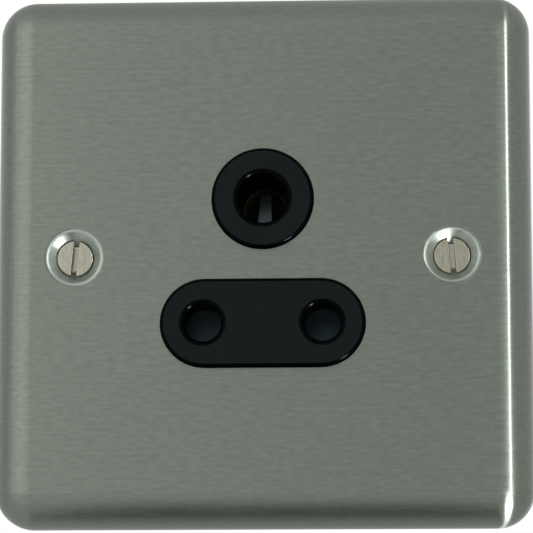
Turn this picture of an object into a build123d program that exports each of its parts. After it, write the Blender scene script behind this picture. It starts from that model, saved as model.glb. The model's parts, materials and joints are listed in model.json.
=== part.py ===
import os
from math import sqrt

from build123d import *

# Lengths are in mm. The socket hangs on a wall: +Z is up, its face looks towards -Y and the
# wall plane is y = 0. A level is a height in front of the wall plane, so it is minus y, and
# a sketch on Plane.XZ.offset(level) lies at that level with X to the right and Z up.

# Plug layout
pin_spacing = 19.05  # live to neutral
earth_pitch = 22.225  # earth to live, and earth to neutral
live_pin_dia = 5.08
live_pin_length = 15.1
earth_pin_dia = 7.06
earth_pin_length = 20.6
pin_drop = 10.8  # fixing screws down to the live and neutral line
pin_play = 0.4  # radial, pin to moulded hole
guide_play = 0.16  # radial, earth pin to its guide in the housing
pin_grip = 0.03  # radial, sleeve bore under the pin

# Front plate
plate_size = 86.0
plate_depth = 8.0  # wall plane to face
sheet = 1.0
edge_radius = 5.9  # outside of the rolled edge
corner_radius = 6.0
fixing_centres = 60.3
dimple_mouth_r = 4.35
dimple_round = 1.2
fixing_hole_r = 2.05
dimple_lip_t = 0.7
collar_play = 0.15  # collar to plate opening

# Fixing screws
fixing_r = 1.75
fixing_neck_r = 1.5  # plain neck through the plate
fixing_neck_end = 0.8  # neck beyond the back of the dimple
fixing_head_r = 2.9
fixing_length = 25.0
head_land = 0.25
seat_play = 0.07
slot_width = 0.9
slot_depth = 1.2
left_slot_turn = 5.5
right_slot_turn = -5.0

# Front moulding
earth_collar_dia = 16.0
oblong_length = 32.4
oblong_height = 13.9
collar_proud = 1.0
collar_edge = 0.3
hole_edge = 0.58
flange_width = 45.0
flange_corner = 5.0
flange_t = 4.5
boss_r = 2.9
boss_x = 11.8
boss_z = 1.0
boss_length = 8.0

# Shutter and spring
shutter_travel = 6.4
shutter_play = 0.2  # front and back of the slide
slide_play = 0.3  # sides and ends of the slide
blade_t = 1.8
blade_overlap = 0.36
stem_width = 6.0
stem_t = 5.6
ramp_width = 2.4
ramp_tip_width = 1.8
ramp_land = 0.6
spring_room = 3.5  # left under the stem at full travel
spring_r = 2.0  # middle of the wire
wire_dia = 0.4
spring_turns = 5.0
spigot_r = 1.4
spigot_length = 1.4

# Contacts, terminals and strap
strip_t = 0.8
live_wall = 0.6
earth_wall = 0.7
sleeve_slit = 1.0
sleeve_lead = 0.25
tail_width = 4.4
tail_end = 2.9  # rivet to the end of a tail
clip_t = 0.4
clip_width = 1.5
clip_opening = 3.0
clip_play = 0.05
block_width = 8.0
block_height = 9.0
block_depth = 8.0
block_edge = 0.4
wire_r = 1.9
wire_setback = 3.2  # contact tail to wire axis
wire_room = 0.6  # round the wire in the housing wall
rivet_r = 1.2
rivet_head_r = 1.9
rivet_head_t = 0.7
terminal_screw_r = 1.6
terminal_head_r = 2.5
terminal_head_t = 1.6
terminal_slot = 0.8
terminal_turns = (20.0, -35.0, 65.0)
strap_width = 5.0
strap_bend_r = 0.9
close_play = 0.05

# Housing, cover and fasteners
wall = 1.8
pocket_play = 0.2
guide_web = 0.75  # between the stem and the earth sleeve
lower_half_width = 16.5
shoulder_z = 3.0
shoulder_rise = 6.5
outline_round = 2.5
cover_t = 2.0
cover_edge = 0.5
housing_screw_r = 1.45
housing_screw_play = 0.25
housing_head_r = 2.8
cross_width = 0.8
cross_length = 3.2
cross_depth = 1.0
thread_engaged = 6.0
stud_r = 1.5
stud_pad_r = 2.2
stud_pad_t = 0.7
stud_length = 9.0
nut_flats = 5.5
nut_t = 2.4
washer_r = 3.25
washer_t = 0.5

# Places in the face
live_x = pin_spacing / 2
live_z = -pin_drop
earth_z = sqrt(earth_pitch**2 - live_x**2) - pin_drop
fixing_x = fixing_centres / 2
live_hole_r = live_pin_dia / 2 + pin_play
earth_hole_r = earth_pin_dia / 2 + pin_play
earth_guide_r = earth_pin_dia / 2 + guide_play
live_bore_r = live_pin_dia / 2 - pin_grip
earth_bore_r = earth_pin_dia / 2 - pin_grip
live_sleeve_r = live_bore_r + live_wall
earth_sleeve_r = earth_bore_r + earth_wall
live_pocket_r = live_sleeve_r + clip_play + clip_t + 0.1
earth_pocket_r = earth_sleeve_r + clip_play + clip_t + 0.15
live_term_z = live_z - live_pocket_r - 1.6 - block_height / 2
earth_term_z = earth_z + earth_pocket_r + 1.6 + block_height / 2
terminals = ((0, earth_term_z), (live_x, live_term_z), (-live_x, live_term_z))

# Levels
face = plate_depth
sheet_back = face - sheet
collar_face = face + collar_proud
flange_back = sheet_back - flange_t
shutter_front = flange_back - shutter_play
blade_back = shutter_front - blade_t
blade_floor = blade_back - shutter_play
stem_back = shutter_front - stem_t
stem_floor = stem_back - shutter_play
live_sleeve_front = blade_floor - 0.3
earth_sleeve_front = stem_floor - guide_web - close_play
earth_sleeve_back = collar_face - earth_pin_length
tail_front = collar_face - live_pin_length
tail_back = tail_front - strip_t
strap_front = tail_front + strip_t
wire_level = tail_back - wire_setback
housing_back = tail_back - block_depth
cover_back = housing_back - cover_t
live_clip_level = (live_sleeve_front + tail_front - clip_width) / 2
earth_clip_level = (earth_sleeve_front + tail_front - clip_width) / 2

# Shutter places
blade_half_height = live_hole_r + blade_overlap
blade_half_width = live_x + live_hole_r + 1.1
blade_low = live_z - blade_half_height
ramp_foot_z = earth_z - earth_hole_r - 0.25
ramp_top_z = earth_z - earth_pin_dia / 2 - 0.3 + shutter_travel
spring_level = (shutter_front + stem_back) / 2
spring_seat_z = blade_low - shutter_travel - spring_room

# Outline of the housing and its cover
block_room = block_width / 2 + pocket_play
block_reach = block_height / 2 + pocket_play
housing_low = live_term_z - block_reach - wall
housing_high = earth_term_z + block_reach + wall
upper_half_width = earth_pocket_r + 3.0
outline = [
    (-lower_half_width, housing_low),
    (lower_half_width, housing_low),
    (lower_half_width, shoulder_z),
    (upper_half_width, shoulder_z + shoulder_rise),
    (upper_half_width, housing_high),
    (-upper_half_width, housing_high),
    (-upper_half_width, shoulder_z + shoulder_rise),
    (-lower_half_width, shoulder_z),
]

# Studs stand clear of the strap that runs up the back of the housing
strap_leg_z = housing_high + strap_bend_r - strip_t / 2
stud_z = strap_leg_z + strip_t + 0.5 + nut_flats / sqrt(3)
flange_height = 2 * (stud_z + 3.5)

# Dimple: a 90 degree cone pressed through the sheet
dimple_depth = dimple_mouth_r - fixing_hole_r
dimple_outer_r = dimple_mouth_r - sheet + sheet * sqrt(2)
dimple_low = face - dimple_depth - dimple_lip_t
dimple_low_r = fixing_hole_r - dimple_lip_t + sheet * sqrt(2)
head_rim = face - dimple_mouth_r + fixing_head_r + seat_play
head_top = head_rim + head_land
fixing_tip = head_top - fixing_length


# Front plate: pressed sheet, open towards the wall
with BuildPart() as plate_inside:
    with BuildSketch(Plane.XZ):
        RectangleRounded(plate_size - 2 * sheet, plate_size - 2 * sheet, corner_radius - sheet)
    extrude(amount=sheet_back)
    fillet(plate_inside.faces().sort_by(Axis.Y)[0].edges(), radius=edge_radius - sheet)

with BuildPart() as front_plate:
    with BuildSketch(Plane.XZ):
        RectangleRounded(plate_size, plate_size, corner_radius)
    extrude(amount=face)
    fillet(front_plate.faces().sort_by(Axis.Y)[0].edges(), radius=edge_radius)
    add(plate_inside.part, mode=Mode.SUBTRACT)
    with BuildSketch(Plane.XZ.offset(sheet_back)):
        with Locations((0, earth_z)):
            Circle(earth_collar_dia / 2 + collar_play)
        with Locations((0, live_z)):
            SlotOverall(oblong_length + 2 * collar_play, oblong_height + 2 * collar_play)
        with Locations((-fixing_x, 0), (fixing_x, 0)):
            Circle(dimple_outer_r)
    extrude(amount=sheet, mode=Mode.SUBTRACT)
    for place in (-fixing_x, fixing_x):
        with BuildSketch(Plane.XY):
            with Locations((place, 0)):
                Polygon(
                    (fixing_hole_r, dimple_depth - face),
                    (dimple_mouth_r, -face),
                    (dimple_outer_r, -face),
                    (dimple_outer_r, -sheet_back),
                    (dimple_low_r, -dimple_low),
                    (fixing_hole_r, -dimple_low),
                    align=None,
                )
        revolve(axis=Axis((place, 0, 0), (0, 1, 0)))
    mouths = front_plate.edges().filter_by(
        lambda e: e.geom_type == GeomType.CIRCLE and abs(e.radius - dimple_mouth_r) < 0.01
    )
    fillet(mouths, radius=dimple_round)
front_plate.part.label = "front_plate"


# Studs welded to the back of the plate, with a washer and a nut on each
with BuildPart() as plate_studs:
    with BuildSketch(Plane.XZ.offset(sheet_back)):
        with Locations((0, -stud_z), (0, stud_z)):
            Circle(stud_pad_r)
    extrude(amount=-stud_pad_t)
    with BuildSketch(Plane.XZ.offset(sheet_back)):
        with Locations((0, -stud_z), (0, stud_z)):
            Circle(stud_r)
    extrude(amount=-stud_length)
plate_studs.part.label = "plate_studs"

with BuildPart() as stud_washers:
    for place, seat in ((-stud_z, flange_back), (stud_z, flange_back - strip_t)):
        with BuildSketch(Plane.XZ.offset(seat)):
            with Locations((0, place)):
                Circle(washer_r)
                Circle(stud_r + 0.1, mode=Mode.SUBTRACT)
        extrude(amount=-washer_t)
stud_washers.part.label = "stud_washers"

with BuildPart() as stud_nuts:
    for place, seat in ((-stud_z, flange_back), (stud_z, flange_back - strip_t)):
        with BuildSketch(Plane.XZ.offset(seat - washer_t)):
            with Locations((0, place)):
                RegularPolygon(nut_flats / 2, 6, major_radius=False)
                Circle(stud_r + close_play, mode=Mode.SUBTRACT)
        extrude(amount=-nut_t)
stud_nuts.part.label = "stud_nuts"


# Front moulding: flange behind the plate and two collars through it
with BuildPart() as front_moulding:
    with BuildSketch(Plane.XZ.offset(flange_back)):
        RectangleRounded(flange_width, flange_height, flange_corner)
    extrude(amount=flange_t)
    with BuildSketch(Plane.XZ.offset(sheet_back)):
        with Locations((0, earth_z)):
            Circle(earth_collar_dia / 2)
        with Locations((0, live_z)):
            SlotOverall(oblong_length, oblong_height)
    extrude(amount=collar_face - sheet_back)
    chamfer(front_moulding.edges().group_by(Axis.Y)[0], length=collar_edge)
    with BuildSketch(Plane.XZ.offset(flange_back)):
        with Locations((-boss_x, boss_z), (boss_x, boss_z)):
            Circle(boss_r)
    extrude(amount=-boss_length)
    with BuildSketch(Plane.XZ.offset(flange_back)):
        with Locations((0, earth_z)):
            Circle(earth_hole_r)
        with Locations((-live_x, live_z), (live_x, live_z)):
            Circle(live_hole_r)
    extrude(amount=collar_face - flange_back, mode=Mode.SUBTRACT)
    mouths = (
        front_moulding.edges()
        .group_by(Axis.Y)[0]
        .filter_by(lambda e: e.geom_type == GeomType.CIRCLE and e.radius < earth_hole_r + 0.1)
    )
    chamfer(mouths, length=hole_edge)
    with BuildSketch(Plane.XZ.offset(flange_back)):
        with Locations((0, -stud_z), (0, stud_z)):
            Circle(stud_r + 0.15)
    extrude(amount=flange_t, mode=Mode.SUBTRACT)
    with BuildSketch(Plane.XZ.offset(sheet_back)):
        with Locations((0, -stud_z), (0, stud_z)):
            Circle(stud_pad_r + pocket_play)
    extrude(amount=-stud_pad_t - pocket_play, mode=Mode.SUBTRACT)
    with BuildSketch(Plane.XZ.offset(flange_back - boss_length)):
        with Locations((-boss_x, boss_z), (boss_x, boss_z)):
            Circle(housing_screw_r + close_play)
    extrude(amount=boss_length + 1.0, mode=Mode.SUBTRACT)
front_moulding.part.label = "front_moulding"


# Contact housing: slide for the shutter in front, pockets for contacts and terminals behind
with BuildPart() as contact_housing:
    with BuildSketch(Plane.XZ.offset(housing_back)) as housing_outline:
        Polygon(*outline, align=None)
        fillet(housing_outline.vertices(), radius=outline_round)
    extrude(amount=flange_back - housing_back)
    # room for the blade over its travel
    with BuildSketch(Plane.XZ.offset(flange_back)):
        with Locations((0, live_z - shutter_travel / 2)):
            Rectangle(
                2 * (blade_half_width + slide_play),
                2 * (blade_half_height + slide_play) + shutter_travel,
            )
    extrude(amount=blade_floor - flange_back, mode=Mode.SUBTRACT)
    # room for the stem and the spring below it
    with BuildSketch(Plane.XZ.offset(flange_back)):
        with Locations((0, (spring_seat_z + earth_z) / 2)):
            Rectangle(stem_width + 2 * slide_play, earth_z - spring_seat_z)
    extrude(amount=stem_floor - flange_back, mode=Mode.SUBTRACT)
    # guide for the earth pin, and holes for the three sleeves
    with BuildSketch(Plane.XZ.offset(flange_back)):
        with Locations((0, earth_z)):
            Circle(earth_guide_r)
    extrude(amount=housing_back - flange_back, mode=Mode.SUBTRACT)
    with BuildSketch(Plane.XZ.offset(housing_back)):
        with Locations((0, earth_z)):
            Circle(earth_pocket_r)
    extrude(amount=earth_sleeve_front + close_play - housing_back, mode=Mode.SUBTRACT)
    with BuildSketch(Plane.XZ.offset(flange_back)):
        with Locations((-live_x, live_z), (live_x, live_z)):
            Circle(live_pocket_r)
    extrude(amount=housing_back - flange_back, mode=Mode.SUBTRACT)
    # live and neutral terminal pockets with room for the rivet heads
    with BuildSketch(Plane.XZ.offset(housing_back)):
        with Locations((-live_x, (live_z + live_term_z - block_reach) / 2)):
            Rectangle(2 * block_room, live_z - live_term_z + block_reach)
        with Locations((live_x, (live_z + live_term_z - block_reach) / 2)):
            Rectangle(2 * block_room, live_z - live_term_z + block_reach)
    extrude(amount=tail_front - housing_back, mode=Mode.SUBTRACT)
    with BuildSketch(Plane.XZ.offset(tail_front)):
        with Locations((-live_x, live_term_z), (live_x, live_term_z)):
            Circle(rivet_head_r + pocket_play)
    extrude(amount=rivet_head_t + pocket_play, mode=Mode.SUBTRACT)
    # earth terminal pocket, the way to it for the tail, and room for the rivet head
    with BuildSketch(Plane.XZ.offset(housing_back)):
        with Locations((0, earth_term_z)):
            Rectangle(2 * block_room, 2 * block_reach)
    extrude(amount=strap_front - housing_back, mode=Mode.SUBTRACT)
    with BuildSketch(Plane.XZ.offset(housing_back)):
        with Locations((0, (earth_z + earth_term_z) / 2)):
            Rectangle(tail_width + 2 * slide_play, earth_term_z - earth_z)
    extrude(amount=tail_front - housing_back, mode=Mode.SUBTRACT)
    with BuildSketch(Plane.XZ.offset(strap_front)):
        with Locations((0, earth_term_z)):
            Circle(rivet_head_r + pocket_play)
    extrude(amount=rivet_head_t + pocket_play, mode=Mode.SUBTRACT)
    # notches for the wires, and for the strap at the top
    with BuildSketch(Plane.XZ.offset(housing_back)):
        with Locations((-live_x, housing_low), (live_x, housing_low)):
            Rectangle(2 * (wire_r + wire_room), 4 * wall)
    extrude(amount=wire_level + wire_r + wire_room - housing_back, mode=Mode.SUBTRACT)
    with BuildSketch(Plane.XZ.offset(housing_back)):
        with Locations((0, housing_high)):
            Rectangle(strap_width + 2 * slide_play, 4 * wall)
    extrude(amount=strap_front + close_play - housing_back, mode=Mode.SUBTRACT)
    # holes for the bosses and the housing screws
    with BuildSketch(Plane.XZ.offset(flange_back)):
        with Locations((-boss_x, boss_z), (boss_x, boss_z)):
            Circle(boss_r + pocket_play)
    extrude(amount=-boss_length - pocket_play, mode=Mode.SUBTRACT)
    with BuildSketch(Plane.XZ.offset(housing_back)):
        with Locations((-boss_x, boss_z), (boss_x, boss_z)):
            Circle(housing_screw_r + housing_screw_play)
    extrude(amount=flange_back - boss_length - housing_back, mode=Mode.SUBTRACT)
    # spigot that holds the foot of the spring
    with BuildSketch(Plane.XY.offset(spring_seat_z)):
        with Locations((0, -spring_level)):
            Circle(spigot_r)
    extrude(amount=spigot_length)
contact_housing.part.label = "contact_housing"


# Rear cover: closes the pockets, with a hole over each terminal screw
with BuildPart() as rear_cover:
    with BuildSketch(Plane.XZ.offset(cover_back)) as cover_outline:
        Polygon(*outline, align=None)
        fillet(cover_outline.vertices(), radius=outline_round)
    extrude(amount=cover_t)
    chamfer(rear_cover.faces().sort_by(Axis.Y)[-1].edges(), length=cover_edge)
    with BuildSketch(Plane.XZ.offset(cover_back)):
        with Locations(*terminals):
            Circle(terminal_head_r + 2 * pocket_play)
        with Locations((-boss_x, boss_z), (boss_x, boss_z)):
            Circle(housing_screw_r + housing_screw_play)
    extrude(amount=cover_t, mode=Mode.SUBTRACT)
    for place in (-boss_x, boss_x):
        with BuildSketch(Plane.XY.offset(boss_z)):
            with Locations((place, 0)):
                Polygon(
                    (0, -cover_back),
                    (housing_head_r + seat_play, -cover_back),
                    (0, -cover_back - housing_head_r - seat_play),
                    align=None,
                )
        revolve(axis=Axis((place, 0, boss_z), (0, 1, 0)), mode=Mode.SUBTRACT)
rear_cover.part.label = "rear_cover"


# Shutter: blade over the live and neutral holes, stem, and ramp in the way of the earth pin
with BuildPart() as shutter:
    with BuildSketch(Plane.XZ.offset(blade_back)):
        with Locations((0, live_z)):
            RectangleRounded(2 * blade_half_width, 2 * blade_half_height, 1.0)
    extrude(amount=blade_t)
    with BuildSketch(Plane.XZ.offset(stem_back)):
        with Locations((0, (blade_low + ramp_foot_z) / 2)):
            Rectangle(stem_width, ramp_foot_z - blade_low)
    extrude(amount=stem_t)
    with BuildSketch(Plane.XZ.offset(stem_back)):
        Polygon(
            (-ramp_width / 2, ramp_foot_z),
            (ramp_width / 2, ramp_foot_z),
            (ramp_tip_width / 2, ramp_top_z),
            (-ramp_tip_width / 2, ramp_top_z),
            align=None,
        )
    extrude(amount=stem_t)
    with BuildSketch(Plane.YZ):
        Polygon(
            (-shutter_front, ramp_foot_z),
            (-stem_back - ramp_land, ramp_top_z),
            (-shutter_front, ramp_top_z),
            align=None,
        )
    extrude(amount=ramp_width, both=True, mode=Mode.SUBTRACT)
    with BuildSketch(Plane.XY.offset(blade_low)):
        with Locations((0, -spring_level)):
            Circle(spigot_r)
    extrude(amount=-spigot_length)
shutter.part.label = "shutter"


# Shutter spring: coil between the stem and its seat, on a spigot at each end; the round
# wire is drawn four-sided
with BuildPart() as shutter_spring:
    with BuildLine() as spring_path:
        Helix(
            pitch=(blade_low - spring_seat_z - wire_dia - 2 * close_play) / spring_turns,
            height=blade_low - spring_seat_z - wire_dia - 2 * close_play,
            radius=spring_r,
            center=(0, -spring_level, spring_seat_z + wire_dia / 2 + close_play),
        )
    with BuildSketch(Plane(origin=spring_path.line @ 0, z_dir=spring_path.line % 0)):
        RegularPolygon(wire_dia / 2, 4)
    sweep(path=spring_path.line, is_frenet=True)
shutter_spring.part.label = "shutter_spring"


# Earth contact: rolled sleeve with a tail lanced out of its top
with BuildPart() as earth_contact:
    with BuildSketch(Plane.XZ.offset(earth_sleeve_back)):
        with Locations((0, earth_z)):
            Circle(earth_sleeve_r)
    extrude(amount=earth_sleeve_front - earth_sleeve_back)
    with BuildSketch(Plane.XZ.offset(earth_sleeve_back)):
        with Locations((0, earth_z + earth_sleeve_r)):
            Rectangle(tail_width + 0.4, earth_sleeve_r)
    extrude(amount=tail_back - earth_sleeve_back, mode=Mode.SUBTRACT)
    with BuildSketch(Plane.XZ.offset(tail_back)):
        with Locations((0, (earth_z + earth_term_z + tail_end) / 2)):
            Rectangle(tail_width, earth_term_z + tail_end - earth_z)
        with Locations((0, earth_term_z)):
            Circle(rivet_r + close_play, mode=Mode.SUBTRACT)
    extrude(amount=strip_t)
    with BuildSketch(Plane.XZ.offset(earth_sleeve_back)):
        with Locations((0, earth_z)):
            Circle(earth_bore_r)
        with Locations((0, earth_z - earth_sleeve_r)):
            Rectangle(sleeve_slit, earth_sleeve_r)
    extrude(amount=earth_sleeve_front - earth_sleeve_back, mode=Mode.SUBTRACT)
    mouths = earth_contact.edges().group_by(Axis.Y)[0].filter_by(
        lambda e: e.geom_type == GeomType.CIRCLE and e.radius < earth_bore_r + 0.01
    )
    chamfer(mouths, length=sleeve_lead)
earth_contact.part.label = "earth_contact"


# Live contact: rolled sleeve with a tail turned down from its inner end
with BuildPart() as live_contact:
    with BuildSketch(Plane.XZ.offset(tail_back)):
        with Locations((live_x, live_z)):
            Circle(live_sleeve_r)
    extrude(amount=live_sleeve_front - tail_back)
    with BuildSketch(Plane.XZ.offset(tail_back)):
        with Locations((live_x, (live_z + live_term_z - tail_end) / 2)):
            Rectangle(tail_width, live_z - live_term_z + tail_end)
        with Locations((live_x, live_term_z)):
            Circle(rivet_r + close_play, mode=Mode.SUBTRACT)
    extrude(amount=strip_t)
    with BuildSketch(Plane.XZ.offset(tail_back)):
        with Locations((live_x, live_z)):
            Circle(live_bore_r)
        with Locations((live_x, live_z + live_sleeve_r)):
            Rectangle(sleeve_slit, live_sleeve_r)
    extrude(amount=live_sleeve_front - tail_back, mode=Mode.SUBTRACT)
    mouths = live_contact.edges().group_by(Axis.Y)[0].filter_by(
        lambda e: e.geom_type == GeomType.CIRCLE and e.radius < live_bore_r + 0.01
    )
    chamfer(mouths, length=sleeve_lead)
live_contact.part.label = "live_contact"

with BuildPart() as neutral_contact:
    mirror(live_contact.part, about=Plane.YZ)
neutral_contact.part.label = "neutral_contact"


# Spring clips: open rings that keep the split sleeves tight on a pin
with BuildPart() as earth_clip:
    with BuildSketch(Plane.XZ.offset(earth_clip_level)):
        with Locations((0, earth_z)):
            Circle(earth_sleeve_r + clip_play + clip_t)
            Circle(earth_sleeve_r + clip_play, mode=Mode.SUBTRACT)
        with Locations((0, earth_z - earth_sleeve_r)):
            Rectangle(clip_opening, earth_sleeve_r, mode=Mode.SUBTRACT)
    extrude(amount=clip_width)
earth_clip.part.label = "earth_clip"

with BuildPart() as live_clip:
    with BuildSketch(Plane.XZ.offset(live_clip_level)):
        with Locations((live_x, live_z)):
            Circle(live_sleeve_r + clip_play + clip_t)
            Circle(live_sleeve_r + clip_play, mode=Mode.SUBTRACT)
        with Locations((live_x, live_z + live_sleeve_r)):
            Rectangle(clip_opening, live_sleeve_r, mode=Mode.SUBTRACT)
    extrude(amount=clip_width)
live_clip.part.label = "live_clip"

with BuildPart() as neutral_clip:
    mirror(live_clip.part, about=Plane.YZ)
neutral_clip.part.label = "neutral_clip"


# Earth terminal: brass block riveted through the contact's tail and the strap
with BuildPart() as earth_terminal:
    with BuildSketch(Plane.XZ.offset(housing_back)):
        with Locations((0, earth_term_z)):
            Rectangle(block_width, block_height)
    extrude(amount=block_depth)
    chamfer(earth_terminal.edges().filter_by(Axis.Y), length=block_edge)
    with BuildSketch(Plane.XZ.offset(tail_back)):
        with Locations((0, earth_term_z)):
            Circle(rivet_r)
    extrude(amount=strap_front - tail_back)
    with BuildSketch(Plane.XZ.offset(strap_front)):
        with Locations((0, earth_term_z)):
            Circle(rivet_head_r)
    extrude(amount=rivet_head_t)
    with BuildSketch(Plane.XY.offset(earth_term_z - block_height / 2)):
        with Locations((0, -wire_level)):
            Circle(wire_r)
    extrude(amount=block_height, mode=Mode.SUBTRACT)
    with BuildSketch(Plane.XZ.offset(housing_back)):
        with Locations((0, earth_term_z)):
            Circle(terminal_screw_r + close_play)
    extrude(amount=wire_level - housing_back, mode=Mode.SUBTRACT)
earth_terminal.part.label = "earth_terminal"


# Live terminal: the same block, riveted through the tail alone
with BuildPart() as live_terminal:
    with BuildSketch(Plane.XZ.offset(housing_back)):
        with Locations((live_x, live_term_z)):
            Rectangle(block_width, block_height)
    extrude(amount=block_depth)
    chamfer(live_terminal.edges().filter_by(Axis.Y), length=block_edge)
    with BuildSketch(Plane.XZ.offset(tail_back)):
        with Locations((live_x, live_term_z)):
            Circle(rivet_r)
    extrude(amount=strip_t)
    with BuildSketch(Plane.XZ.offset(tail_front)):
        with Locations((live_x, live_term_z)):
            Circle(rivet_head_r)
    extrude(amount=rivet_head_t)
    with BuildSketch(Plane.XY.offset(live_term_z - block_height / 2)):
        with Locations((live_x, -wire_level)):
            Circle(wire_r)
    extrude(amount=block_height, mode=Mode.SUBTRACT)
    with BuildSketch(Plane.XZ.offset(housing_back)):
        with Locations((live_x, live_term_z)):
            Circle(terminal_screw_r + close_play)
    extrude(amount=wire_level - housing_back, mode=Mode.SUBTRACT)
live_terminal.part.label = "live_terminal"

with BuildPart() as neutral_terminal:
    mirror(live_terminal.part, about=Plane.YZ)
neutral_terminal.part.label = "neutral_terminal"


# Terminal screws: slotted, backed off so that the wire holes are free
with BuildPart() as terminal_screws:
    with BuildSketch(Plane.XZ.offset(housing_back - pocket_play)):
        with Locations(*terminals):
            Circle(terminal_screw_r)
    extrude(amount=wire_level - wire_r - 0.1 - housing_back + pocket_play)
    with BuildSketch(Plane.XZ.offset(housing_back - pocket_play)):
        with Locations(*terminals):
            Circle(terminal_head_r)
    extrude(amount=-terminal_head_t)
    for (x, z), turn in zip(terminals, terminal_turns):
        with Locations(Location((x, pocket_play + terminal_head_t - housing_back, z), (0, turn, 0))):
            Box(terminal_slot, terminal_head_t, 3 * terminal_head_r, mode=Mode.SUBTRACT)
terminal_screws.part.label = "terminal_screws"


# Earth strap: from under the earth terminal, out over the housing, to the upper stud
with BuildPart() as earth_strap:
    with BuildSketch(Plane.YZ):
        with BuildLine():
            FilletPolyline(
                (strip_t / 2 - flange_back, stud_z + tail_end),
                (strip_t / 2 - flange_back, strap_leg_z + strip_t / 2),
                (-tail_front - strip_t / 2, strap_leg_z + strip_t / 2),
                (-tail_front - strip_t / 2, earth_term_z - tail_end),
                radius=strap_bend_r,
            )
        trace(line_width=strip_t)
    extrude(amount=strap_width / 2, both=True)
    with BuildSketch(Plane.XZ.offset(flange_back)):
        with Locations((0, stud_z)):
            Circle(stud_r + 0.15)
    extrude(amount=-strip_t, mode=Mode.SUBTRACT)
    with BuildSketch(Plane.XZ.offset(tail_front)):
        with Locations((0, earth_term_z)):
            Circle(rivet_r + close_play)
    extrude(amount=strip_t, mode=Mode.SUBTRACT)
earth_strap.part.label = "earth_strap"


# Housing screws: countersunk, from the cover into the bosses of the front moulding
with BuildPart() as housing_screws:
    for place in (-boss_x, boss_x):
        with BuildSketch(Plane.XY.offset(boss_z)):
            with Locations((place, 0)):
                Polygon(
                    (0, -cover_back - close_play),
                    (housing_head_r, -cover_back - close_play),
                    (housing_screw_r, -cover_back - close_play - housing_head_r + housing_screw_r),
                    (housing_screw_r, boss_length - thread_engaged - flange_back),
                    (0, boss_length - thread_engaged - flange_back),
                    align=None,
                )
        revolve(axis=Axis((place, 0, boss_z), (0, 1, 0)))
    with Locations((-boss_x, -cover_back, boss_z), (boss_x, -cover_back, boss_z)):
        Box(cross_width, 2 * cross_depth, cross_length, mode=Mode.SUBTRACT)
        Box(cross_length, 2 * cross_depth, cross_width, mode=Mode.SUBTRACT)
housing_screws.part.label = "housing_screws"


# Fixing screws: slotted countersunk heads, flat on top, in the dimples of the plate
with BuildPart() as fixing_screws:
    for place, turn in ((-fixing_x, left_slot_turn), (fixing_x, right_slot_turn)):
        with BuildSketch(Plane.XY):
            with Locations((place, 0)):
                Polygon(
                    (0, -head_top),
                    (fixing_head_r, -head_top),
                    (fixing_head_r, -head_rim),
                    (fixing_neck_r, fixing_head_r - fixing_neck_r - head_rim),
                    (fixing_neck_r, fixing_neck_end - dimple_low),
                    (fixing_r, fixing_neck_end - dimple_low),
                    (fixing_r, -fixing_tip),
                    (0, -fixing_tip),
                    align=None,
                )
        revolve(axis=Axis((place, 0, 0), (0, 1, 0)))
        with Locations(Location((place, -head_top, 0), (0, turn, 0))):
            Box(slot_width, 2 * slot_depth, 3 * fixing_head_r, mode=Mode.SUBTRACT)
fixing_screws.part.label = "fixing_screws"


os.makedirs("parts", exist_ok=True)
export_step(front_plate.part, "parts/front_plate.step")
export_step(plate_studs.part, "parts/plate_studs.step")
export_step(stud_washers.part, "parts/stud_washers.step")
export_step(stud_nuts.part, "parts/stud_nuts.step")
export_step(front_moulding.part, "parts/front_moulding.step")
export_step(contact_housing.part, "parts/contact_housing.step")
export_step(rear_cover.part, "parts/rear_cover.step")
export_step(shutter.part, "parts/shutter.step")
export_step(shutter_spring.part, "parts/shutter_spring.step")
export_step(earth_contact.part, "parts/earth_contact.step")
export_step(live_contact.part, "parts/live_contact.step")
export_step(neutral_contact.part, "parts/neutral_contact.step")
export_step(earth_clip.part, "parts/earth_clip.step")
export_step(live_clip.part, "parts/live_clip.step")
export_step(neutral_clip.part, "parts/neutral_clip.step")
export_step(earth_terminal.part, "parts/earth_terminal.step")
export_step(live_terminal.part, "parts/live_terminal.step")
export_step(neutral_terminal.part, "parts/neutral_terminal.step")
export_step(terminal_screws.part, "parts/terminal_screws.step")
export_step(earth_strap.part, "parts/earth_strap.step")
export_step(housing_screws.part, "parts/housing_screws.step")
export_step(fixing_screws.part, "parts/fixing_screws.step")
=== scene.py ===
import json
from math import cos, pi, radians, sin

import bmesh
import bpy
from mathutils import Matrix, Vector

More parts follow.
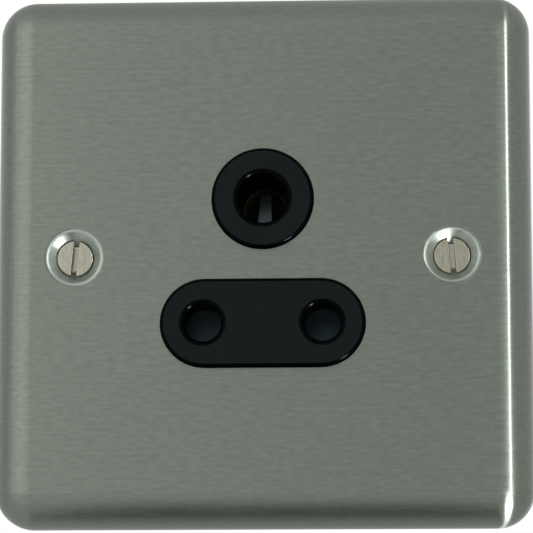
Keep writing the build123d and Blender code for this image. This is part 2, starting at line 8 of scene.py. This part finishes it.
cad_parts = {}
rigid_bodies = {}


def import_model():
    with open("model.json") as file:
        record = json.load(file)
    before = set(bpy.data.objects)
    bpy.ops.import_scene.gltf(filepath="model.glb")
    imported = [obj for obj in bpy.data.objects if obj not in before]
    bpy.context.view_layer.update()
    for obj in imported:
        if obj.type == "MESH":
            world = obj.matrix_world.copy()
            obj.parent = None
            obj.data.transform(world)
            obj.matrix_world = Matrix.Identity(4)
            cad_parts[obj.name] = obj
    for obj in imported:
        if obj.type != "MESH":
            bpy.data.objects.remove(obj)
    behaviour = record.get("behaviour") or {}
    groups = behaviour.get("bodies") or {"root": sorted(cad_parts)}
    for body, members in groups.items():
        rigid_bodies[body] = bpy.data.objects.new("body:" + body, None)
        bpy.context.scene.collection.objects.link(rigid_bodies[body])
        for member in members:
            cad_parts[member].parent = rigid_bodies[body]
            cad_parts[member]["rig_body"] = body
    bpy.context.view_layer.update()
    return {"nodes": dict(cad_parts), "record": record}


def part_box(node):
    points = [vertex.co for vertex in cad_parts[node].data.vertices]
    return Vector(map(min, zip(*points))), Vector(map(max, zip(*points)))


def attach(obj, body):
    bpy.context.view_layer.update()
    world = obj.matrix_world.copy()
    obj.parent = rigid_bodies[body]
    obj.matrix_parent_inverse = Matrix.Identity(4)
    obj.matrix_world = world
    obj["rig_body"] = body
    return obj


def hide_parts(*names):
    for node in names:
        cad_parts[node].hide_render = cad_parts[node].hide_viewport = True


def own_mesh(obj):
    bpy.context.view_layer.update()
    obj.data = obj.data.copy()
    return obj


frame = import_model()
MM = 0.001


# Front plate
# One sheet of stainless steel, pressed into a shallow pan with a rolled edge and two dimples,
# blanked for the collars and brushed across its front. It stands on the wall on its rim.
def close_ends(bm):
    """Fills every open loop of edges."""
    bmesh.ops.holes_fill(bm, edges=[e for e in bm.edges if e.is_boundary])


def made(name, bm):
    """A new object in the scene with the shape that bm holds."""
    mesh = bpy.data.meshes.new(name)
    bm.to_mesh(mesh)
    bm.free()
    piece = bpy.data.objects.new(name, mesh)
    bpy.context.scene.collection.objects.link(piece)
    return piece


def dressed(name, node, edge, cut=None, wide_edge=0.0, is_wide=None):
    """A merged copy of a solid with its sharp edges rounded, as a piece that stands for it.
    cut is a level in metres: what lies behind it, towards the wall, is taken off. Edges whose
    middle is_wide picks are rounded by wide_edge, before the rest. Both widths are in mm."""
    same_place = 0.002 * MM
    flat_angle = radians(0.5)
    sharp_angle = radians(30)
    wide_steps = 4
    fine_steps = 2
    bm = bmesh.new()
    bm.from_mesh(frame["nodes"][node].data)
    bmesh.ops.remove_doubles(bm, verts=bm.verts, dist=same_place)
    bmesh.ops.dissolve_limit(bm, verts=bm.verts, edges=bm.edges, angle_limit=flat_angle)
    if cut is not None:
        everything = bm.verts[:] + bm.edges[:] + bm.faces[:]
        bmesh.ops.bisect_plane(
            bm, geom=everything, plane_co=(0, cut, 0), plane_no=(0, 1, 0), clear_outer=True
        )
        close_ends(bm)
    for width, steps, picked in ((wide_edge, wide_steps, is_wide), (edge, fine_steps, None)):
        if not width:
            continue
        sharp = [e for e in bm.edges if e.is_manifold and e.calc_face_angle() > sharp_angle]
        if picked:
            sharp = [e for e in sharp if picked((e.verts[0].co + e.verts[1].co) / 2)]
        bmesh.ops.bevel(
            bm, geom=sharp, offset=width * MM, affect="EDGES", segments=steps, profile=0.5, material=-1
        )
    for face in bm.faces:
        face.smooth = True
    piece = made(name, bm)
    if "custom_normal" in piece.data.attributes:
        piece.data.attributes.remove(piece.data.attributes["custom_normal"])
    piece.modifiers.new("even shading", "WEIGHTED_NORMAL")
    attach(piece, frame["nodes"][node]["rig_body"])
    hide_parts(node)
    return piece


def finish_of(name, roughness=0.5, metallic=0.0, specular=0.5):
    """A new material, its node tree and its shader, with the values that are the same all over it."""
    material = bpy.data.materials.new(name)
    material.use_nodes = True
    shader = material.node_tree.nodes["Principled BSDF"]
    shader.inputs["Roughness"].default_value = roughness
    shader.inputs["Metallic"].default_value = metallic
    shader.inputs["Specular IOR Level"].default_value = specular
    return material, material.node_tree, shader


def noise(tree, scale, detail=3.0, place=None):
    """A noise with scale cells to the metre along each axis of a place, or else of the piece itself."""
    if place is None:
        place = tree.nodes.new("ShaderNodeTexCoord").outputs["Object"]
    mapping = tree.nodes.new("ShaderNodeMapping")
    mapping.inputs["Scale"].default_value = scale
    tree.links.new(place, mapping.inputs["Vector"])
    texture = tree.nodes.new("ShaderNodeTexNoise")
    texture.inputs["Scale"].default_value = 1.0
    texture.inputs["Detail"].default_value = detail
    tree.links.new(mapping.outputs["Vector"], texture.inputs["Vector"])
    return texture.outputs["Fac"]


# the values that most of a noise lies between
NOISE_SPAN = (0.25, 0.75)


def coloured(tree, shader, factor, low, high):
    """Runs the base colour from low to high over the span of a noise."""
    ramp = tree.nodes.new("ShaderNodeValToRGB")
    for stop, position, colour in zip(ramp.color_ramp.elements, NOISE_SPAN, (low, high)):
        stop.position = position
        stop.color = (*colour, 1)
    tree.links.new(factor, ramp.inputs["Fac"])
    tree.links.new(ramp.outputs["Color"], shader.inputs["Base Color"])


def roughened(tree, shader, factor, low, high):
    """Runs the roughness from low to high over the span of a noise."""
    spread = tree.nodes.new("ShaderNodeMapRange")
    sockets = ("From Min", "From Max", "To Min", "To Max")
    for socket, value in zip(sockets, (*NOISE_SPAN, low, high)):
        spread.inputs[socket].default_value = value
    tree.links.new(factor, spread.inputs["Value"])
    tree.links.new(spread.outputs["Result"], shader.inputs["Roughness"])


def bump(tree, shader, height, depth):
    """Raises the surface by a height of 0 to 1 times a depth in mm."""
    node = tree.nodes.new("ShaderNodeBump")
    node.inputs["Strength"].default_value = 1.0
    node.inputs["Distance"].default_value = depth * MM
    tree.links.new(height, node.inputs["Height"])
    tree.links.new(node.outputs["Normal"], shader.inputs["Normal"])


front_plate = dressed("plate_pressing", "front_plate", edge=0.1)

# the sheet laid flat, so that the brush lines run over the rolled edge
brush_map = front_plate.data.uv_layers.new(name="brush")
plate_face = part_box("front_plate")[0].y
least_lean = 0.01
for loop in front_plate.data.loops:
    at = front_plate.data.vertices[loop.vertex_index].co
    way = front_plate.data.vertices[loop.vertex_index].normal
    side = Vector((way.x, way.z))
    if side.length > least_lean:
        side.normalize()
    fall = at.y - plate_face
    brush_map.data[loop.index].uv = (at.x + side.x * fall, at.z + side.y * fall)

brushed_steel, tree, shader = finish_of("brushed steel", metallic=1.0)
shader.inputs["Anisotropic"].default_value = 0.96
shader.inputs["Anisotropic Rotation"].default_value = 0.25
grain_way = tree.nodes.new("ShaderNodeTangent")
grain_way.direction_type = "UV_MAP"
grain_way.uv_map = "brush"
tree.links.new(grain_way.outputs["Tangent"], shader.inputs["Tangent"])
sheet = tree.nodes.new("ShaderNodeUVMap")
sheet.uv_map = "brush"
strokes = noise(tree, (600, 1900, 1), detail=1.5, place=sheet.outputs["UV"])
lines = noise(tree, (120, 2300, 1), detail=2.0, place=sheet.outputs["UV"])
line_share = 0.35
mixed = tree.nodes.new("ShaderNodeMix")
mixed.inputs["Factor"].default_value = line_share
tree.links.new(strokes, mixed.inputs["A"])
tree.links.new(lines, mixed.inputs["B"])
grain = mixed.outputs["Result"]
coloured(tree, shader, grain, (0.124, 0.14, 0.119), (0.167, 0.188, 0.16))
roughened(tree, shader, lines, 0.27, 0.31)
bump(tree, shader, grain, depth=0.003)
front_plate.data.materials.append(brushed_steel)

# the brush doesn't reach the dimples or the inside, which keep the finish of the rolled sheet; its colour
# is painted lighter than the brushed steel's, as light caught by the dimple walls
lightened_steel, tree, shader = finish_of("rolled steel painted light", metallic=1.0)
rolling = noise(tree, (500, 500, 2500))
coloured(tree, shader, rolling, (0.255, 0.285, 0.252), (0.3, 0.336, 0.296))
roughened(tree, shader, rolling, 0.32, 0.4)
bump(tree, shader, rolling, depth=0.003)
front_plate.data.materials.append(lightened_steel)
dimple_r = 4.5
dimple_x = 30.15
# up to here the mouth of a dimple leans inwards, as the inner walls do, but it is brushed
mouth_r = 6.0
least_back = 0.1
# the dimples, the inner walls and the inside get the rolled finish with its painted light
for face in front_plate.data.polygons:
    off_axis = Vector((abs(face.center.x) - dimple_x * MM, face.center.z)).length
    inner_wall = face.normal.dot(face.center) < 0 and off_axis > mouth_r * MM
    if face.normal.y > least_back or inner_wall or off_axis < dimple_r * MM:
        face.material_index = 1


# Studs, washers and nuts
# Two threaded steel studs are welded to the back of the plate. Each carries a washer and a nut
# that draw the front moulding up to the plate; all are zinc plated.
def thread(piece, place, start, end, root, crest, pitch):
    """Adds a threaded rod along Y to a piece: a plain core and one ridge wound round it. place is
    in metres, the rest in mm."""
    turns = int((end - start) / pitch) - 1
    around = 28
    bm = bmesh.new()
    bm.from_mesh(piece.data)
    rod = bmesh.ops.create_cone(
        bm, cap_ends=True, segments=around, radius1=root * MM, radius2=root * MM, depth=(end - start) * MM
    )["verts"]
    bmesh.ops.translate(bm, verts=rod, vec=(0, 0, (start + end) / 2 * MM))
    # the ridge starts inside the core; half its foot and half its crest are parts of the pitch
    inside = root - 0.05
    half_foot = 0.42
    half_crest = 0.06
    profile = ((inside, -half_foot), (crest, -half_crest), (crest, half_crest), (inside, half_foot))
    foot = start + pitch / 2
    corners = [bm.verts.new((r * MM, 0, (foot + h * pitch) * MM)) for r, h in profile]
    ring = [bm.edges.new((corners[i - 1], corners[i])) for i in range(len(corners))]
    before = set(bm.verts) - set(corners)
    bmesh.ops.spin(
        bm, geom=corners + ring, cent=(0, 0, 0), axis=(0, 0, 1), dvec=(0, 0, pitch * MM / around),
        angle=2 * pi * turns, steps=around * turns,
    )
    ridge = [v for v in bm.verts if v not in before]
    close_ends(bm)
    new = rod + ridge
    bmesh.ops.rotate(bm, verts=new, cent=(0, 0, 0), matrix=Matrix.Rotation(-pi / 2, 3, "X"))
    bmesh.ops.translate(bm, verts=new, vec=Vector(place))
    bmesh.ops.recalc_face_normals(bm, faces=list({f for v in new for f in v.link_faces}))
    bm.to_mesh(piece.data)
    bm.free()


stud_low, stud_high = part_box("plate_studs")
pad_r = 2.2
pad_thickness = 0.7
thread_foot = 0.5
plate_studs = dressed("studs", "plate_studs", edge=0.1, cut=stud_low.y + pad_thickness * MM)
for stud_z in (stud_low.z + pad_r * MM, stud_high.z - pad_r * MM):
    thread(
        plate_studs, (0, 0, stud_z), start=stud_low.y / MM + thread_foot, end=stud_high.y / MM,
        root=1.2, crest=1.5, pitch=0.5,
    )
stud_washers = dressed("washers", "stud_washers", edge=0.06)
stud_nuts = dressed("nuts", "stud_nuts", edge=0.15)

zinc_plate, tree, shader = finish_of("zinc plate", metallic=1.0)
bloom = noise(tree, (900, 900, 900), detail=4.0)
coloured(tree, shader, bloom, (0.36, 0.375, 0.38), (0.47, 0.48, 0.47))
roughened(tree, shader, bloom, 0.32, 0.48)
bump(tree, shader, bloom, depth=0.006)
for piece in (plate_studs, stud_washers, stud_nuts):
    piece.data.materials.append(zinc_plate)


# Front moulding
# One black thermoset moulding: a flange behind the plate, with a round and an oblong collar
# that stand proud through it. The pin holes have rounded mouths.
pin_holes = [m for m in frame["record"]["mounts"] if m["name"].endswith("pin_hole")]
mouth_margin = 0.8


def near_hole(at):
    """Whether a point is in one of the pin holes or on its mouth."""
    for hole in pin_holes:
        off_axis = Vector((at.x - hole["pos_m"][0], at.z - hole["pos_m"][2])).length
        if off_axis < (hole["dims"]["r_mm"] + mouth_margin) * MM:
            return True
    return False


front_moulding = dressed("collar_moulding", "front_moulding", edge=0.08, wide_edge=0.22, is_wide=near_hole)

black_moulding, tree, shader = finish_of("black moulding", specular=0.065)
flow = noise(tree, (120, 120, 120), detail=2.0)
skin = noise(tree, (5200, 5200, 5200), detail=2.0)
coloured(tree, shader, flow, (0.0024, 0.0046, 0.0049), (0.003, 0.0056, 0.0059))
roughened(tree, shader, skin, 0.32, 0.4)
bump(tree, shader, skin, depth=0.003)
front_moulding.data.materials.append(black_moulding)

# the faces of the collars and the back are satin: the edges, the mouths and the rest are glossy, and their
# colour is painted darker as shade
glossy_shaded_black, tree, shader = finish_of("glossy black moulding painted dark", specular=0.012)
flow = noise(tree, (120, 120, 120), detail=2.0)
coloured(tree, shader, flow, (0.0008, 0.0012, 0.0013), (0.0012, 0.0017, 0.0018))
roughened(tree, shader, flow, 0.12, 0.16)
front_moulding.data.materials.append(glossy_shaded_black)
collar_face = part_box("front_moulding")[0].y
satin_depth = 0.005
# with more than this of its normal along Y, a face looks to the front or to the back
facing = 0.5
# faces that are not the satin front or back get the glossy finish with its painted shade
for face in front_moulding.data.polygons:
    if face.center.y > collar_face + satin_depth * MM and face.normal.y < facing:
        face.material_index = 1


# Shutter
# A grey nylon slide behind the collars. Its blade closes the live and neutral holes, and its
# ramp stands in the earth hole, where the longer pin pushes it down.
shutter = dressed("shutter_slide", "shutter", edge=0.15)

grey_nylon, tree, shader = finish_of("grey nylon", specular=0.025)
cloud = noise(tree, (300, 300, 300))
skin = noise(tree, (4000, 4000, 4000), detail=2.0)
coloured(tree, shader, cloud, (0.055, 0.069, 0.072), (0.068, 0.083, 0.087))
roughened(tree, shader, skin, 0.4, 0.52)
bump(tree, shader, skin, depth=0.005)
shutter.data.materials.append(grey_nylon)

# the front of the blade, seen deep in the live and neutral holes, is painted dark as shade
shaded_nylon, tree, shader = finish_of("nylon painted dark", specular=0.025)
shade_noise = noise(tree, (500, 500, 120))
coloured(tree, shader, shade_noise, (0.019, 0.03, 0.034), (0.025, 0.037, 0.042))
roughened(tree, shader, shade_noise, 0.44, 0.56)
shutter.data.materials.append(shaded_nylon)
# the painted shade goes on the faces at the front of the blade
blade_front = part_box("shutter")[0].y
shaded_depth = 0.1
for face in shutter.data.polygons:
    if face.center.y < blade_front + shaded_depth * MM:
        face.material_index = 1


# Shutter spring
# A coil of round spring wire between the foot of the shutter and its seat in the housing. It
# closes up as the shutter is pushed down.
spring_low, spring_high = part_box("shutter_spring")
wire_r = 0.2
wire_sides = 10
coil_turns = 5
coil_steps = 36 * coil_turns
spring_y = (spring_low.y + spring_high.y) / 2
coil_r = (spring_high.x - spring_low.x) / 2 - wire_r * MM
rise = spring_high.z - spring_low.z - 2 * wire_r * MM
bm = bmesh.new()
section = bmesh.ops.create_circle(bm, segments=wire_sides, radius=wire_r * MM)["verts"]
bmesh.ops.rotate(bm, verts=section, cent=(0, 0, 0), matrix=Matrix.Rotation(pi / 2, 3, "X"))
bmesh.ops.translate(bm, verts=section, vec=(coil_r, spring_y, spring_low.z + wire_r * MM))
bmesh.ops.spin(
    bm, geom=bm.verts[:] + bm.edges[:], cent=(0, spring_y, 0), axis=(0, 0, 1),
    dvec=(0, 0, rise / coil_steps), angle=2 * pi * coil_turns, steps=coil_steps,
)
close_ends(bm)
bmesh.ops.recalc_face_normals(bm, faces=bm.faces)
for face in bm.faces:
    face.smooth = True
spring_coil = made("spring_coil", bm)
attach(spring_coil, "socket")
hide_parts("shutter_spring")

drawn_wire, tree, shader = finish_of("drawn spring wire", metallic=1.0)
draw = noise(tree, (1500, 1500, 6000), detail=2.0)
coloured(tree, shader, draw, (0.28, 0.28, 0.27), (0.38, 0.38, 0.36))
roughened(tree, shader, draw, 0.24, 0.36)
spring_coil.data.materials.append(drawn_wire)
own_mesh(spring_coil)


# Contacts and strap
# Rolled and pressed brass strip: a split sleeve for each pin with a tail that is riveted to its
# terminal, and the strap that joins the earth terminal to the plate.
rolled_brass, tree, shader = finish_of("rolled brass", metallic=1.0)
brass_tone = noise(tree, (260, 260, 260), detail=4.0)
rolling = noise(tree, (3000, 200, 3000), detail=2.0)
coloured(tree, shader, brass_tone, (0.5, 0.41, 0.18), (0.62, 0.52, 0.26))
roughened(tree, shader, rolling, 0.38, 0.5)
bump(tree, shader, rolling, depth=0.004)

# brass painted dark, as shade deep in the earth hole
shaded_brass, tree, shader = finish_of("brass painted dark", metallic=1.0)
brass_tone = noise(tree, (260, 260, 260), detail=4.0)
coloured(tree, shader, brass_tone, (0.06, 0.045, 0.02), (0.09, 0.07, 0.035))
roughened(tree, shader, brass_tone, 0.55, 0.65)
mouth_depth = 0.2
shade_end_x = -2.2
for name, node in (
    ("earth_sleeve", "earth_contact"),
    ("live_sleeve", "live_contact"),
    ("neutral_sleeve", "neutral_contact"),
    ("plate_strap", "earth_strap"),
):
    piece = dressed(name, node, edge=0.08)
    piece.data.materials.append(rolled_brass)
    # the open end of the earth sleeve is painted dark as shade, all but its left side
    if node == "earth_contact":
        piece.data.materials.append(shaded_brass)
        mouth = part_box(node)[0].y
        for face in piece.data.polygons:
            if face.center.y < mouth + mouth_depth * MM and face.center.x > shade_end_x * MM:
                face.material_index = 1


# Spring clips
# Open rings of spring steel that hold the split sleeves tight on a pin.
for name, node in (
    ("earth_ring", "earth_clip"),
    ("live_ring", "live_clip"),
    ("neutral_ring", "neutral_clip"),
):
    piece = dressed(name, node, edge=0.06)
    piece.data.materials.append(drawn_wire)


# Terminals
# Brass blocks cut from drawn bar, each drilled for a wire and tapped for its screw, with a
# rivet end that holds the contact. The slotted screws are backed off.
cut_brass, tree, shader = finish_of("cut brass", metallic=1.0)
brass_tone = noise(tree, (350, 350, 350))
tooling = noise(tree, (400, 400, 7000), detail=2.0)
coloured(tree, shader, brass_tone, (0.5, 0.33, 0.1), (0.62, 0.44, 0.17))
roughened(tree, shader, tooling, 0.2, 0.36)
bump(tree, shader, tooling, depth=0.004)
for name, node in (
    ("earth_block", "earth_terminal"),
    ("live_block", "live_terminal"),
    ("neutral_block", "neutral_terminal"),
):
    piece = dressed(name, node, edge=0.12)
    piece.data.materials.append(cut_brass)
terminal_screws = dressed("wire_screws", "terminal_screws", edge=0.12)
terminal_screws.data.materials.append(zinc_plate)


# Housing and rear cover
# Two black mouldings with a matt, lightly textured skin. The housing holds the contacts and
# the shutter; the cover closes it at the back.
matt_moulding, tree, shader = finish_of("matt moulding", specular=0.3)
flow = noise(tree, (90, 90, 90))
skin = noise(tree, (2600, 2600, 2600))
coloured(tree, shader, flow, (0.0105, 0.0115, 0.0125), (0.0145, 0.0155, 0.0165))
roughened(tree, shader, skin, 0.48, 0.64)
bump(tree, shader, skin, depth=0.012)
earth_z = 9.28
earth_guide_r = 4.2
for name, node in (("contact_case", "contact_housing"), ("case_cover", "rear_cover")):
    piece = dressed(name, node, edge=0.15)
    piece.data.materials.append(matt_moulding)
    # the front of the housing and its guide for the earth pin come out of the tool glossy, and are painted
    # darker as shade
    if node == "contact_housing":
        piece.data.materials.append(glossy_shaded_black)
        for face in piece.data.polygons:
            off_axis = Vector((face.center.x, face.center.z - earth_z * MM)).length
            if face.normal.y < -facing or off_axis < earth_guide_r * MM:
                face.material_index = 1


# Housing screws
# Two zinc plated countersunk screws with a cross recess, from the cover into the front moulding.
housing_screws = dressed("case_screws", "housing_screws", edge=0.06)
housing_screws.data.materials.append(zinc_plate)


# Fixing screws
# Two nickel plated M3.5 screws with slotted countersunk heads, one in each dimple. Their threads
# run into the lugs of the box in the wall.
screw_low, screw_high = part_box("fixing_screws")
head_r = 2.9
fixing_x = (screw_high.x - screw_low.x) / 2 - head_r * MM
neck_end = -4.2
thread_overlap = 0.1
rim_width = 0.1


def on_head_rim(at):
    """Whether a point is on the round edge at the top of a head."""
    off_axis = Vector((abs(at.x) - fixing_x, at.z)).length
    return at.y < screw_low.y + rim_width * MM and off_axis > (head_r - rim_width) * MM


fixing_screws = dressed(
    "plate_screws", "fixing_screws", edge=0.07, cut=neck_end * MM, wide_edge=0.2, is_wide=on_head_rim
)
for screw_x in (-fixing_x, fixing_x):
    thread(
        fixing_screws, (screw_x, 0, 0), start=neck_end - thread_overlap, end=screw_high.y / MM,
        root=1.35, crest=1.75, pitch=0.6,
    )

nickel, tree, shader = finish_of("nickel plate", metallic=1.0)
turning = noise(tree, (2600, 900, 500))
coloured(tree, shader, turning, (0.225, 0.22, 0.174), (0.31, 0.305, 0.244))
roughened(tree, shader, turning, 0.15, 0.23)
bump(tree, shader, turning, depth=0.006)
fixing_screws.data.materials.append(nickel)

# the plating is thin and dull in the saw cut of the slot, and its colour is painted a little lighter, as
# light on the floor of the slot
dull_lightened_nickel, tree, shader = finish_of("dull nickel plate painted light", metallic=1.0)
sawing = noise(tree, (4000, 4000, 600), detail=2.0)
coloured(tree, shader, sawing, (0.235, 0.232, 0.19), (0.32, 0.316, 0.26))
roughened(tree, shader, sawing, 0.32, 0.44)
bump(tree, shader, sawing, depth=0.006)
fixing_screws.data.materials.append(dull_lightened_nickel)
slot_half = 0.47
# each slot is turned a few degrees, so what is taken for it widens from the middle
slot_lean = 0.1
slot_top = 0.1
slot_bottom = 1.25
slot_end_r = head_r - 0.3
# faces in the slot get the dull plating with its painted light
for face in fixing_screws.data.polygons:
    off_axis = Vector((abs(face.center.x) - fixing_x, face.center.z))
    deep = slot_top * MM < face.center.y - screw_low.y < slot_bottom * MM
    between_walls = abs(off_axis.x) < slot_half * MM + abs(off_axis.y) * slot_lean
    if deep and between_walls and off_axis.length < slot_end_r * MM:
        face.material_index = 1


# Floor
# A plain pale floor, below the camera.
def flat_sheet(name, half, middle, taper=1.0):
    """A level sheet, given half its width and depth. Its front edge is taper times its back edge."""
    bm = bmesh.new()
    bmesh.ops.create_grid(bm, x_segments=1, y_segments=1, size=1.0)
    bmesh.ops.scale(bm, verts=bm.verts, vec=(*half, 1))
    bmesh.ops.scale(bm, verts=[v for v in bm.verts if v.co.y < 0], vec=(taper, 1, 1))
    bmesh.ops.translate(bm, verts=bm.verts, vec=middle)
    return made(name, bm)


floor = flat_sheet("floor", half=(3.0, 3.0), middle=(0, 0, -0.17))
pale, tree, shader = finish_of("pale floor", roughness=0.9, specular=0.0)
coloured(tree, shader, noise(tree, (6, 6, 6)), (0.78, 0.79, 0.78), (0.82, 0.83, 0.82))
# reflections see it as white as the backdrop
mirrored_glow = 0.4
shader.inputs["Emission Color"].default_value = (1, 1, 1, 1)
mirrored = tree.nodes.new("ShaderNodeMath")
mirrored.operation = "MULTIPLY"
mirrored.inputs[1].default_value = mirrored_glow
tree.links.new(tree.nodes.new("ShaderNodeLightPath").outputs["Is Glossy Ray"], mirrored.inputs[0])
tree.links.new(mirrored.outputs[0], shader.inputs["Emission Strength"])
floor.data.materials.append(pale)


# Light
# Even light all round, white to the camera and in reflections. Soft boxes and dim wings at the left,
# a strip, a dim wing and a small lamp at the right, a box above and a dark card low in front.
world = bpy.data.worlds.new("studio")
bpy.context.scene.world = world
world.use_nodes = True
tree = world.node_tree
path = tree.nodes.new("ShaderNodeLightPath")
seen = path.outputs["Is Camera Ray"]
for ray in ("Is Glossy Ray", "Is Transmission Ray"):
    either = tree.nodes.new("ShaderNodeMath")
    either.operation = "MAXIMUM"
    tree.links.new(seen, either.inputs[0])
    tree.links.new(path.outputs[ray], either.inputs[1])
    seen = either.outputs[0]
lighting_level = 0.4
seen_level = 1.0
level = tree.nodes.new("ShaderNodeMapRange")
level.inputs["To Min"].default_value = lighting_level
level.inputs["To Max"].default_value = seen_level
tree.links.new(seen, level.inputs["Value"])
tree.links.new(level.outputs["Result"], tree.nodes["Background"].inputs["Strength"])
tree.nodes["Background"].inputs["Color"].default_value = (1, 1, 1, 1)


def from_front(turn, rise):
    """The direction turn degrees to the right of straight in front of the socket, raised by rise."""
    return (sin(radians(turn)), -cos(radians(turn)), rise)


def soft_box(name, direction, distance, width, height, power):
    """A rectangular lamp that faces the socket from a direction, unseen by the camera."""
    data = bpy.data.lights.new(name, "AREA")
    data.shape = "RECTANGLE"
    data.size = width
    data.size_y = height
    data.energy = power
    lamp = bpy.data.objects.new(name, data)
    bpy.context.scene.collection.objects.link(lamp)
    way = Vector(direction).normalized()
    lamp.location = way * distance
    lamp.rotation_mode = "QUATERNION"
    lamp.rotation_quaternion = (-way).to_track_quat("-Z", "Y")
    lamp.visible_camera = False
    return lamp


soft_box("left box", from_front(-46, 0.25), distance=1.0, width=0.7, height=0.9, power=1.65)
soft_box("left wing", from_front(-19.5, 0.25), distance=1.0, width=0.29, height=0.9, power=0.5)
soft_box("left inner wing", from_front(-10.3, 0.25), distance=1.0, width=0.055, height=0.9, power=0.024)
soft_box("left outer wing", from_front(-72.5, 0.25), distance=1.0, width=0.263, height=0.9, power=0.237)
soft_box("front left box", from_front(-25, 0.45), distance=1.2, width=1.05, height=1.3, power=1.2)
strip = soft_box("right strip", from_front(42, 0.0), distance=0.8, width=0.012, height=0.9, power=3.0)
strip.visible_diffuse = False
soft_box("right wing", from_front(25, 0.0), distance=0.8, width=0.49, height=0.9, power=0.22)
top_box = soft_box("top box", (-0.1, -0.88, 0.47), distance=1.0, width=0.4, height=0.4, power=4.5)
top_box.visible_glossy = False
low_lamp = soft_box(
    "low right lamp", (0.085, -0.04, -0.115), distance=0.149, width=0.024, height=0.024, power=0.3
)
low_lamp.visible_diffuse = False

# a dark card low in front, seen only in reflections
dark_card = flat_sheet("dark card", half=(0.055, 0.068), middle=(-0.003, -0.06, -0.165), taper=0.65)
dark_card.visible_camera = False
dark_card.visible_diffuse = False
dark_card.visible_shadow = False
dark_cloth, tree, shader = finish_of("dark cloth", roughness=0.9, specular=0.1)
coloured(tree, shader, noise(tree, (40, 40, 40)), (0.2, 0.2, 0.2), (0.24, 0.24, 0.24))
dark_card.data.materials.append(dark_cloth)


# Camera
# A long lens, a little below the socket and a little to its right, as in the photograph.
image_px = 533
lens_px = 3160.0
camera_distance = 0.5115
camera_right = radians(3.0)
camera_below = radians(9.3)
centre_px = (265.3, 263.9)
camera_data = bpy.data.cameras.new("camera")
camera_data.sensor_width = 36.0
camera_data.lens = lens_px / image_px * camera_data.sensor_width
camera_data.clip_start = 0.01
camera_data.clip_end = 20.0
camera = bpy.data.objects.new("camera", camera_data)
bpy.context.scene.collection.objects.link(camera)
stand = camera_distance * Vector(
    (sin(camera_right) * cos(camera_below), -cos(camera_right) * cos(camera_below), -sin(camera_below))
)
px = camera_distance / lens_px
aim = Vector(((image_px / 2 - centre_px[0]) * px, 0, (centre_px[1] - image_px / 2) * px))
camera.location = stand
camera.rotation_mode = "QUATERNION"
camera.rotation_quaternion = (aim - stand).to_track_quat("-Z", "Y")
bpy.context.scene.camera = camera
bpy.context.scene.view_settings.view_transform = "Standard"
